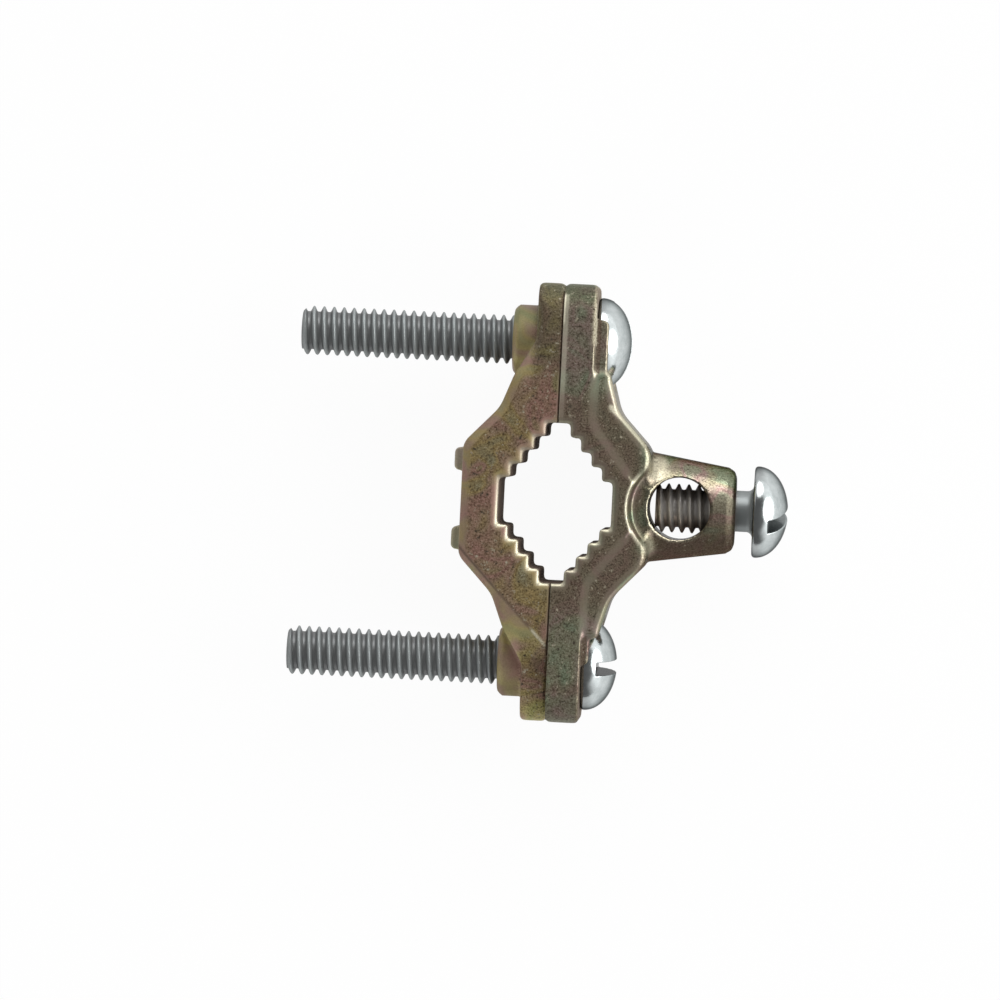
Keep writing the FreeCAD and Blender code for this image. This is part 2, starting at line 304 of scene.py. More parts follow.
@dataclass(frozen=True)
class ChromatedZincCasting:
    """Die-cast zinc with yellow chromate plating: satin metal, olive and gold with pink and green tints."""

    name: str = "yellow_chromated_zinc"
    patch_mm: float = 5.0
    hue_places: tuple[float, ...] = (0.30, 0.43, 0.52, 0.61, 0.72)
    face_hues: tuple[str, ...] = ("#7A8672", "#828370", "#827D70", "#887972", "#7E8472")
    gold_hues: tuple[str, ...] = ("#8E896F", "#998860", "#94806C", "#99796F", "#918868")
    # Clear yellow film, pale enough to act as painted light on the downward-facing sides and lower ends
    clear_film_and_light_hues: tuple[str, ...] = ("#A9A86E", "#BDB27E", "#B7A483", "#B59687", "#ABAA7C")
    rubbed_hue_places: tuple[float, ...] = (0.34, 0.44, 0.54, 0.62, 0.70)
    rubbed_hues: tuple[str, ...] = ("#98A28A", "#A59F87", "#A4988B", "#AE948F", "#9E9F8C")
    # Dark green film of the upper ears, also laid as painted shade on their upward-facing ends
    green_film_and_shade_colour: str = "#5C604C"
    # Cream of worn metal, also laid as painted highlights on edges, rims and small spots
    bare_and_highlight_colour: str = "#DCD7C0"
    # Brown film, laid mostly as painted shade: on the opening's deep walls, in the seam, in the guards' foot
    # and on the lug's lower side
    tarnish_and_shade_colour: str = "#706054"
    fleck_mm: float = 0.6
    fleck_range: Pair = (0.62, 0.74)
    fleck_colour: str = "#B9B4A2"
    dark_stain_range: Pair = (0.40, 0.26)
    dark_stain_colour: str = "#544E44"
    grain_mm: float = 0.22
    grain_places: tuple[float, ...] = (0.34, 0.5, 0.60, 0.70)
    grain_shades: tuple[str, ...] = ("#958C84", "#D6D2CC", "#E8E4DE", "#FFFFFF")
    least_grain_share: float = 0.3
    grain_height_mm: float = 0.02
    least_grain_relief: float = 0.4
    dent_mm: float = 0.5
    dent_height_mm: float = 0.05
    dull_roughness: float = 0.5
    polished_roughness: float = 0.24
    deep_wall_roughness: float = 0.9
    dull_metal_share: float = 0.3
    edge_tint: str = "#6E6E6E"

    def material(self) -> Material:
        """Builds the material.

        Returns:
            Material that reads the masks of a jaw's mesh.
        """
        material = bpy.data.materials.new(self.name)
        add = node_adder(material)
        place = add("TexCoord").outputs["Object"]
        mask = {name: add("Attribute", {"attribute_name": name}).outputs["Fac"] for name in CASTING_MASKS}
        noises = {
            "patches": {"Scale": per_metre(self.patch_mm), "Detail": 1.5, "Distortion": 1.0},
            "flecks": {"Scale": per_metre(self.fleck_mm), "Detail": 2.0, "Roughness": 0.6},
            "grain": {"Scale": per_metre(self.grain_mm), "Detail": 2.0, "Roughness": 0.7},
            "dents": {"Scale": per_metre(self.dent_mm), "Detail": 2.0, "Roughness": 0.6},
        }
        noise = {
            name: add("TexNoise", {"Vector": place, **settings}).outputs["Fac"]
            for name, settings in noises.items()
        }

        # The chromate film changes hue with its thickness, in patches of several millimetres, and the grain
        # of the skin is brown in its hollows
        ramps = {
            "face": (noise["patches"], self.hue_places, self.face_hues),
            "gold": (noise["patches"], self.hue_places, self.gold_hues),
            "clear": (noise["patches"], self.hue_places, self.clear_film_and_light_hues),
            "rubbed": (noise["patches"], self.rubbed_hue_places, self.rubbed_hues),
            "grain": (noise["grain"], self.grain_places, self.grain_shades),
        }
        hue = {
            name: add("ValToRGB", {"stops": list(zip(stops, colours)), "Fac": source}).outputs["Color"]
            for name, (source, stops, colours) in ramps.items()
        }

        # Each of these changes with a mask or noise, up to 1 where no end is given, and the flecks and
        # stains show by as much as the face is pressed
        ranges = {
            "shade": {"Value": mask["pressed_face"], "To Min": self.least_grain_share},
            "relief": {"Value": mask["pressed_face"], "To Min": self.least_grain_relief},
            "gloss": {
                "Value": mask["polish"], "To Min": self.dull_roughness, "To Max": self.polished_roughness
            },
            "metal": {"Value": mask["polish"], "To Min": self.dull_metal_share},
        }
        for name, (low, high) in (("flecks", self.fleck_range), ("stains", self.dark_stain_range)):
            ranges[name] = {"Value": noise["flecks"], "From Min": low, "From Max": high}
            ranges[name]["To Max"] = mask["pressed_face"]
        level = {name: add("MapRange", ranges[name]).outputs["Result"] for name in ranges}

        # The film is dark green on the upper ears, where the same layer is painted shade on their
        # upward-facing ends, and clear yellow on the lower sides, where it is also painted light. Where it
        # is rubbed the pale metal shows through. The cream layer is the most worn edges and painted
        # highlights, and the brown layer is mostly painted shade on the deep walls, in the seam and on the
        # lug's lower side
        layers = [
            (mask["gilding"], hue["gold"]),
            (mask["green_film"], self.green_film_and_shade_colour),
            (mask["clear_film"], hue["clear"]),
            (mask["polish"], hue["rubbed"]),
            (mask["bare"], self.bare_and_highlight_colour),
            (mask["tarnish"], self.tarnish_and_shade_colour),
            (level["flecks"], self.fleck_colour),
            (level["stains"], self.dark_stain_colour),
        ]
        film = lay_over(add, hue["face"], layers)
        colour = add("Mix", {
            "data_type": "RGBA", "blend_type": "MULTIPLY", 0: level["shade"], 6: film, 7: hue["grain"]
        })
        roughness = add("Mix", {
            "data_type": "FLOAT", 0: mask["tarnish"], 2: level["gloss"], 3: self.deep_wall_roughness
        })

        # The grain stands plain on the flat faces, and small dents break up the highlight along the lug
        grained = add("Bump", {
            "Distance": self.grain_height_mm * METRES_PER_MM,
            "Strength": level["relief"],
            "Height": noise["grain"],
        })
        dented = add("Bump", {
            "Distance": self.dent_height_mm * METRES_PER_MM,
            "Strength": mask["polish"],
            "Height": noise["dents"],
            "Normal": grained.outputs["Normal"],
        })

        # The thick film is dull and earthy, and the rubbed casting is a plain metal
        shader = add("BsdfPrincipled", {
            "Base Color": colour.outputs[2],
            "Specular Tint": self.edge_tint,
            "Metallic": level["metal"],
            "Roughness": roughness.outputs[0],
            "Normal": dented.outputs["Normal"],
        })
        add("OutputMaterial", {"Surface": shader.outputs["BSDF"]})
        return material


@dataclass(frozen=True)
class ZincPlatedSteel:
    """Cold-headed steel with bright zinc plating: cool grey, with soft sharp-edged highlights."""

    name: str = "zinc_plated_steel"
    colour: str = "#D4DADA"
    dull_colour: str = "#BEC5C5"
    thread_colour: str = "#9BA0A0"
    # Warm tint with painted light, for the thread inside the wire hole
    warm_tint_and_light_colour: str = "#BFBBB6"
    # Painted shade at the thread's root, in the slot and on the head's rim
    groove_shade_colour: str = "#5C5758"
    edge_tint: str = "#707070"
    head_roughness: float = 0.16
    thread_roughness: float = 0.4
    thread_metal_share: float = 0.5
    cloud_mm: float = 1.6
    cloud_places: Pair = (0.35, 0.65)
    nick_mm: float = 0.35
    nick_height_mm: float = 0.012
    nick_strength: float = 0.6

    def material(self) -> Material:
        """Builds the material.

        Returns:
            Material that reads the masks of a screw's mesh.
        """
        material = bpy.data.materials.new(self.name)
        add = node_adder(material)
        place = add("TexCoord").outputs["Object"]
        mask = {name: add("Attribute", {"attribute_name": name}).outputs["Fac"] for name in SCREW_MASKS}
        clouds, nicks = [
            add("TexNoise", {"Vector": place, **settings})
            for settings in (
                {"Scale": per_metre(self.cloud_mm), "Detail": 4.0, "Roughness": 0.65},
                {"Scale": per_metre(self.nick_mm), "Detail": 3.0, "Roughness": 0.6},
            )
        ]
        plating = add("ValToRGB", {
            "stops": list(zip(self.cloud_places, (self.dull_colour, self.colour))),
            "Fac": clouds.outputs["Fac"],
        })

        # The rolled thread is duller than the head, the thread in the wire hole has a faint warm tint with
        # painted light lifting it, and painted shade darkens every thread's root, the slot and the head's
        # rim
        layers = [
            (mask["rolled"], self.thread_colour),
            (mask["stain"], self.warm_tint_and_light_colour),
            (mask["groove"], self.groove_shade_colour),
        ]
        colour = lay_over(add, plating.outputs["Color"], layers)
        roughness, metal = [
            add("MapRange", {"Value": mask["rolled"], "To Min": on_head, "To Max": on_thread})
            for on_head, on_thread in (
                (self.head_roughness, self.thread_roughness), (1.0, self.thread_metal_share)
            )
        ]
        relief = add("Bump", {
            "Distance": self.nick_height_mm * METRES_PER_MM,
            "Strength": self.nick_strength,
            "Height": nicks.outputs["Fac"],
        })
        shader = add("BsdfPrincipled", {
            "Base Color": colour,
            "Specular Tint": self.edge_tint,
            "Metallic": metal.outputs["Result"],
            "Roughness": roughness.outputs["Result"],
            "Normal": relief.outputs["Normal"],
        })
        add("OutputMaterial", {"Surface": shader.outputs["BSDF"]})
        return material


@dataclass(frozen=True)
class StudioPaper:
    """Matt white background paper: it shows as white, with a faint trace of the clamp's shadow."""

    name: str = "white_studio_paper"
    colour: str = "#F6F6F6"
    glow_share: float = 0.95

    def material(self) -> Material:
        """Builds the material.

        Returns:
            Material that shows its own white to the camera and in reflections.
        """
        material = bpy.data.materials.new(self.name)
        add = node_adder(material)
        ray = add("LightPath")
        seen = ray.outputs["Is Camera Ray"]
        for kind in ("Is Glossy Ray", "Is Transmission Ray"):
            either = add("Math", {"operation": "MAXIMUM", 0: seen, 1: ray.outputs[kind]})
            seen = either.outputs["Value"]
        share = add("MapRange", {"Value": seen, "To Max": self.glow_share})
        paper = add("BsdfDiffuse", {"Color": self.colour})
        glow = add("Emission", {"Color": "#FFFFFF", "Strength": 1.0})
        surface = add("MixShader", {
            0: share.outputs["Result"], 1: paper.outputs["BSDF"], 2: glow.outputs["Emission"]
        })
        add("OutputMaterial", {"Surface": surface.outputs["Shader"]})
        return material


# Screws


@dataclass
class SlottedScrew:
    """Round-head machine screw along X, with a rolled right-hand thread.

    Its places are from the head's base, and slot_turn is in degrees.
    """

    node: str
    head_base: float
    height: float
    length: float
    slot_turn: float
    neck_length: float
    run_out: float = 1.0
    neck_radius: float = 2.6
    neck_flare: float = 0.35
    pitch: float = 1.27
    crest_radius: float = 3.1
    root_radius: float = 2.4
    flank_steepness: float = 3.3
    root_flat: float = 0.45
    tip_chamfer: float = 0.62
    rows_per_turn: int = 14
    columns: int = 72
    head_radius: float = 5.8
    head_height: float = 4.42
    head_rim: float = 0.45
    rim_steps: int = 6
    dome_steps: int = 28
    slot_width: float = 1.7
    slot_depth: float = 2.5
    head_voxel: float = 0.08
    into_head: float = 0.2
    sharp_angle_deg: float = 50.0
    # Shares of painted shade at the thread's root, in the slot and on the head's rim
    groove_shade_share: float = 0.55
    slot_shade_share: float = 0.4
    rim_shade_share: float = 0.45
    # Share of the warm tint and painted light on the thread
    warm_tint_and_light_share: float = 0.0

    def shank_radius(self, x: Points, turn: Points) -> Points:
        """Radius of the shank, thread and neck.

        Args:
            x: Places along the screw, below 0 from the head's base.
            turn: Angles about the screw's axis, in turns.

        Returns:
            Radius at each place.
        """
        phase = np.mod(x / self.pitch - turn, 1.0)
        flank = (0.5 - np.abs(phase - 0.5)) * self.flank_steepness - self.root_flat
        flank = np.clip(flank, 0.0, 1.0)
        flank = 0.5 * flank + 0.5 * flank * flank * (3 - 2 * flank)
        radius = self.root_radius + (self.crest_radius - self.root_radius) * flank
        tip = self.crest_radius - self.tip_chamfer + (x + self.length)
        radius = np.minimum(radius, tip)
        run = ramp(-self.neck_length - self.run_out, -self.neck_length, x)
        radius = radius + (self.neck_radius - radius) * run
        into_flare = np.clip(x + self.neck_flare, 0.0, self.neck_flare)
        flare = self.neck_flare - np.sqrt(self.neck_flare**2 - into_flare**2)
        return radius + flare

    def make_shank(self) -> BMesh:
        """Builds the shank as a sheared grid whose rows follow the thread's helix.

        Returns:
            Closed shank whose ends are flat.
        """
        low = -self.length
        high = self.into_head
        row_count = math.ceil((high - low) / self.pitch * self.rows_per_turn) + 2 * self.rows_per_turn
        turn = np.arange(self.columns) / self.columns
        rows = np.arange(-self.rows_per_turn, row_count)
        x = low + self.pitch * (rows[:, None] / self.rows_per_turn + turn[None, :])
        x = np.clip(x, low, high)
        angle = 2 * math.pi * turn[None, :]
        radius = self.shank_radius(x, np.broadcast_to(turn[None, :], x.shape))
        y = radius * np.cos(angle)
        z = radius * np.sin(angle)
        shank = bmesh.new()
        grid = [
            [shank.verts.new(point) for point in zip(x_row, y_row, z_row)]
            for x_row, y_row, z_row in zip(x.tolist(), y.tolist(), z.tolist())
        ]

        # Each row ends at the start of the row a full turn farther on
        starts = [row[0] for row in grid]
        starts_ahead = starts[self.rows_per_turn:] + starts[-1:] * self.rows_per_turn
        add_strips(shank, [row + [start] for row, start in zip(grid, starts_ahead)])
        bmesh.ops.remove_doubles(shank, verts=shank.verts[:], dist=1e-4)
        loose = [vert for vert in shank.verts if not vert.link_faces]
        bmesh.ops.delete(shank, geom=loose, context="VERTS")
        for end in (low, high):
            rim = [
                edge for edge in shank.edges
                if edge.is_boundary and all(abs(vert.co.x - end) < 1e-3 for vert in edge.verts)
            ]
            bmesh.ops.contextual_create(shank, geom=rim)
        bmesh.ops.recalc_face_normals(shank, faces=shank.faces[:])
        return shank

    def make_plain_head(self) -> Mesh:
        """Builds the head without its slot: half an ellipsoid on a rounded rim.

        Returns:
            Closed head.
        """
        rise = self.head_height - self.head_rim
        profile = []
        for step in range(self.rim_steps):
            angle = math.pi / 2 * step / self.rim_steps
            across = self.head_radius - self.head_rim + self.head_rim * math.sin(angle)
            profile.append((self.head_rim * (1 - math.cos(angle)), across))
        for step in range(self.dome_steps):
            angle = math.pi / 2 * (1 - step / self.dome_steps)
            profile.append((self.head_rim + rise * math.cos(angle), self.head_radius * math.sin(angle)))
        head = bmesh.new()
        angles = [math.pi * column / self.columns for column in range(2 * self.columns)]
        rings = [
            [head.verts.new((x, radius * math.cos(angle), radius * math.sin(angle))) for angle in angles]
            for x, radius in profile
        ]
        add_strips(head, [ring + ring[:1] for ring in rings])
        apex = head.verts.new((self.head_height, 0, 0))
        for corner, after in zip(rings[-1], rings[-1][1:] + rings[-1][:1]):
            head.faces.new((corner, after, apex))
        head.faces.new(rings[0])
        bmesh.ops.recalc_face_normals(head, faces=head.faces[:])
        return smooth_mesh(head, bpy.data.meshes.new("head"))

    def make_head(self) -> Mesh:
        """Builds the head with its slot and slightly softened edges.

        Returns:
            Closed head.
        """
        slot = bmesh.new()
        bmesh.ops.create_cube(slot, size=1.0)
        reach = 2 * self.slot_depth
        size = Matrix.Diagonal((reach, self.slot_width, 4 * self.head_radius, 1.0))
        into_place = Matrix.Translation((self.head_height - self.slot_depth + reach / 2, 0, 0))
        turned = Matrix.Rotation(math.radians(self.slot_turn), 4, "X")
        slot.transform(turned @ into_place @ size)
        cutter = add_object("slot", smooth_mesh(slot, bpy.data.meshes.new("slot")))
        head = modified(
            self.make_plain_head(),
            [
                ("BOOLEAN", {"object": cutter, "operation": "DIFFERENCE", "solver": "EXACT"}),
                ("REMESH", {"mode": "VOXEL", "voxel_size": self.head_voxel, "use_smooth_shade": True}),
                ("SMOOTH", {"factor": 0.5, "iterations": 3}),
            ],
        )
        bpy.data.objects.remove(cutter)
        self.true_dome(head)
        return head

    def true_dome(self, head: Mesh) -> None:
        """Puts vertices near the dome exactly on its ellipsoid.

        Args:
            head: Mesh to change.
        """
        places = vertex_places(head)
        half_axes = np.array([self.head_height - self.head_rim, self.head_radius, self.head_radius])
        from_middle = places - np.array([self.head_rim, 0.0, 0.0])
        reach = np.maximum(np.linalg.norm(from_middle / half_axes, axis=1), 1e-6)
        outward = from_middle / half_axes**2
        outward /= np.maximum(np.linalg.norm(outward, axis=1), 1e-6)[:, None]
        facing = np.einsum("ij,ij->i", outward, vertex_normals(head))
        miss = np.linalg.norm(from_middle, axis=1) * np.abs(1 - 1 / reach)
        share = 1 - ramp(0.5 * self.head_voxel, self.head_voxel, miss)
        share *= ramp(0.9, 0.98, facing) * (places[:, 0] > self.head_rim)
        places += from_middle * ((1 / reach - 1) * share)[:, None]
        move_vertices(head, places)

    def masks(self, places: Points) -> dict[str, Points]:
        """Works out where the finish differs.

        Args:
            places: Positions of the vertices.

        Returns:
            Share of each vertex by mask: "groove" is painted shade at the thread's root, in the slot and on
                the head's
            rim, "rolled" the dull thread, and "stain" a warm tint with painted light on a thread.
        """
        x, y, z = places.T
        across = np.hypot(y, z)
        on_thread = ramp(-self.neck_length + 0.5, -self.neck_length - 0.5, x)
        depth = ramp(self.crest_radius, self.root_radius, across)
        # Painted shade at the thread's root, in the slot and on the head's rim
        root = self.groove_shade_share * depth * on_thread * (x > -self.length + 0.01)
        dome = np.hypot((x - self.head_rim) / (self.head_height - self.head_rim), across / self.head_radius)
        under_dome = ramp(0.98, 0.92, dome)
        slot = self.slot_shade_share * under_dome * (x > self.head_height - self.slot_depth - 0.1)
        rim = self.rim_shade_share * ramp(1.8, 0.4, x) * (x > 0)
        return {
            "groove": np.maximum(root, np.maximum(slot, rim)),
            "rolled": ramp(0.05, -0.3, x),
            "stain": self.warm_tint_and_light_share * on_thread,
        }

    def build(self, material: Material) -> Object:
        """Builds the screw in its place.

        Args:
            material: Finish of the screw.

        Returns:
            The screw's object.
        """
        screw = self.make_shank()
        screw.from_mesh(self.make_head())
        mesh = smooth_mesh(screw, bpy.data.meshes.new(self.node))
        store_masks(mesh, self.masks(vertex_places(mesh)))
        mesh.transform(Matrix.Translation((self.head_base, self.height, 0.0)))
        mesh.set_sharp_from_angle(angle=math.radians(self.sharp_angle_deg))
        return add_piece(mesh, f"threaded_{self.node}", material, self.node, self.node)


# Jaws


@dataclass
class CastJaw:
    """Die-cast jaw, whose edges are softened as a casting's are."""

    node: str
    side: JawSide
    voxel: float = 0.2
    edge_rounds: int = 4
    tooth_rounds: int = 6
    tooth_edge_width: float = 0.6
    tooth_edge_drop: float = 0.4
    seam_allowance: float = 1.0
    seam_bevel: float = 0.0
    sharp_angle_deg: float = 55.0

    def from_opening(self, places: Points) -> Points:
        """Distance across the jaw's face from the stepped opening, for each vertex."""
        x, y, _ = np.abs(places.T)
        distance = np.full(len(places), np.inf)
        for step in range(TOOTH_COUNT + 1):
            beside = np.maximum(x - OPENING_END_HALF_WIDTH - TOOTH_RUN * step, 0.0)
            above = np.maximum(y - OPENING_HALF_HEIGHT + TOOTH_RISE * step, 0.0)
            distance = np.minimum(distance, np.hypot(beside, above))
        return distance

    def smoothing_rounds(self, places: Points) -> Points:
        """Rounds of smoothing for each vertex, of which there are most along the teeth's front and rear."""
        by_teeth = (self.from_opening(places) < self.tooth_edge_width + 0.3) & (np.abs(places[:, 2]) > 6.5)
        return np.where(by_teeth, self.tooth_rounds, self.edge_rounds)

    def lower_tooth_edges(self, places: Points) -> None:
        """Slopes the front and rear faces down towards the opening, where the teeth are worn."""
        slope = np.clip(1 - self.from_opening(places) / self.tooth_edge_width, 0.0, 1.0)
        limit = JAW_HALF_DEPTH - self.tooth_edge_drop * slope**1.3
        places[:, 2] = np.clip(places[:, 2], -limit, limit)

    def soften(self, mesh: Mesh) -> None:
        """Rounds the edges, but for those where the jaws meet.

        Args:
            mesh: Fine mesh to change, in millimetres.
        """
        places = vertex_places(mesh)
        self.lower_tooth_edges(places)
        rounds = self.smoothing_rounds(places)
        edges = np.empty(len(mesh.edges) * 2, dtype=np.int32)
        mesh.edges.foreach_get("vertices", edges)
        starts, ends = edges.reshape(-1, 2).T
        neighbours = np.bincount(edges, minlength=len(places))[:, None]
        for done in range(math.ceil(rounds.max())):
            total = np.zeros_like(places)
            for axis in range(3):
                total[:, axis] += np.bincount(starts, places[ends, axis], minlength=len(places))
                total[:, axis] += np.bincount(ends, places[starts, axis], minlength=len(places))
            share = 0.5 * np.clip(rounds - done, 0.0, 1.0)
            places += (total / neighbours - places) * share[:, None]
        move_vertices(mesh, places)

    def soft_mesh(self, source: Object) -> Mesh:
        """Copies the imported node's mesh and rounds its edges. Any bevel along the seam is filled up.

        Args:
            source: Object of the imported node.

        Returns:
            Fine mesh in millimetres.
        """
        copy = source.data.copy()
        copy.transform(Matrix.Scale(1 / METRES_PER_MM, 4))
        welded = bmesh.new()
        welded.from_mesh(copy)
        bmesh.ops.remove_doubles(welded, verts=welded.verts[:], dist=1e-3)
        for vert in welded.verts:
            inside = vert.co.x * self.side.value
            above_bevel = abs(vert.co.z) - inside - (JAW_HALF_DEPTH - self.seam_bevel)
            if inside < self.seam_bevel + 0.05 and abs(above_bevel) < 0.05:
                vert.co.x -= self.side.value * (self.seam_allowance + self.seam_bevel)
            elif inside < 1e-3:
                vert.co.x = -self.side.value * self.seam_allowance
        remesh = ("REMESH", {"mode": "VOXEL", "voxel_size": self.voxel, "use_smooth_shade": True})
        fine = modified(smooth_mesh(welded, copy), [remesh])
        self.soften(fine)
        self.cut_at_seam(fine)
        return fine

    def cut_at_seam(self, mesh: Mesh) -> None:
        """Cuts off what stands over the seam, which leaves its edges sharp.

        Args:
            mesh: Mesh to change, which goes past the seam by the seam allowance.
        """
        cut = bmesh.new()
        cut.from_mesh(mesh)
        result = bmesh.ops.bisect_plane(
            cut,
            geom=cut.verts[:] + cut.edges[:] + cut.faces[:],
            dist=1e-3,
            plane_co=(0, 0, 0),
            plane_no=(self.side.value, 0, 0),
            clear_inner=True,
        )
        rim = [part for part in result["geom_cut"] if isinstance(part, BMEdge)]
        bmesh.ops.triangle_fill(cut, use_beauty=True, edges=rim, normal=(-self.side.value, 0, 0))
        bmesh.ops.recalc_face_normals(cut, faces=cut.faces[:])
        smooth_mesh(cut, mesh)

    def true_up(
        self, mesh: Mesh, start: Vector, axis: Vector, radius_at: RadiusLaw, end_x: float = math.inf
    ) -> None:
        """Puts vertices near a round surface exactly on it, so that it shines without facets.

        Args:
            mesh: Mesh to change.
            start: A point on the surface's axis.
            axis: Direction of the axis.
            radius_at: Gives the surface's radius at places along the axis.
            end_x: X beyond which nothing is changed.
        """
        places = vertex_places(mesh)
        direction = np.array(axis.normalized())
        offset = places - np.array(start)
        along = offset @ direction
        across = offset - along[:, None] * direction
        distance = np.linalg.norm(across, axis=1)
        outward = across / np.maximum(distance, 1e-6)[:, None]
        facing = np.abs(np.einsum("ij,ij->i", outward, vertex_normals(mesh)))
        miss = radius_at(along) - distance
        share = 1 - ramp(0.4 * self.voxel, 0.8 * self.voxel, np.abs(miss))
        share *= ramp(0.88, 0.96, facing) * (places[:, 0] < end_x)
        places += outward * (miss * share)[:, None]
        move_vertices(mesh, places)

    def true_round_surfaces(self, mesh: Mesh) -> None:
        """Trues up the jaw's own round surfaces, of which a plain cast jaw has none, so this does nothing.
        """

    def masks(self, places: Points, normals: Points) -> dict[str, Points]:
        """Works out where the finish differs.

        Args:
            places: Positions of the vertices.
            normals: Normals of the vertices.

        Returns:
            Share of each vertex by mask: "pressed_face" is the grainy flat skin, "gilding" the golden tint,
            "green_film" the thick film on the upper ears with painted shade on their upward-facing ends,
            "clear_film" the yellow on the lower sides with painted light there, "polish" the gloss,
            "bare" the cream metal of the most worn edges and painted highlights, and
            "tarnish" the brown film and the painted shade on the opening's walls and in the seam.
        """
        x, y, _ = places.T
        depth = np.abs(places[:, 2])
        facing = np.abs(normals[:, 2])
        distance = self.from_opening(places)
        wall = (1 - ramp(0.3, 0.7, facing)) * (distance < 0.3)
        # Painted shade on the opening's walls away from their front and rear edges
        deep_wall_shade = wall * ramp(JAW_HALF_DEPTH - 0.6, JAW_HALF_DEPTH - 1.6, depth)
        # Worn tooth edges, partly a painted highlight, which is half as strong on the upper teeth
        worn_tooth_and_highlight = ramp(0.75, 0.25, distance / self.tooth_edge_width)
        worn_tooth_and_highlight *= (1 - 0.5 * ramp(-2.0, 3.0, y)) * (1 - deep_wall_shade)
        # Painted shade on the upward-facing ends of the upper ears
        up_facing_shade = ramp(0.1, 0.6, normals[:, 1]) * ramp(16.0, 20.0, y)
        flat = ramp(0.985, 0.998, facing) * (depth > 5.0)
        ear = ramp(16.0, 18.0, np.abs(y)) * ramp(0.2, 0.5, facing)
        # Painted shade where the flat front of the lower ears turns into their rounded end
        low_crease_shade = 0.45 * ramp(-22.3, -23.0, y) * ramp(-24.3, -23.6, y) * (depth > 7.0)
        # The faces where the jaws meet are grainy and carry painted shade
        meeting_face = np.abs(x) < 0.02
        return {
            "pressed_face": largest(flat, ear, 0.7 * meeting_face),
            "gilding": np.zeros(len(places)),
            "green_film": 0.7 * up_facing_shade,
            "clear_film": np.zeros(len(places)),
            "polish": 0.6 * worn_tooth_and_highlight,
            "bare": 0.75 * worn_tooth_and_highlight,
            "tarnish": largest(deep_wall_shade, low_crease_shade, 0.4 * meeting_face),
        }

    def build(self, source: Object, material: Material) -> Object:
        """Builds the jaw in its place.

        Args:
            source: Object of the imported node.
            material: Finish of the jaw.

        Returns:
            The jaw's object.
        """
        mesh = self.soft_mesh(source)
        self.true_round_surfaces(mesh)
        store_masks(mesh, self.masks(vertex_places(mesh), vertex_normals(mesh)))
        mesh.set_sharp_from_angle(angle=math.radians(self.sharp_angle_deg))
        return add_piece(mesh, f"cast_{self.node}", material, self.node, self.node)


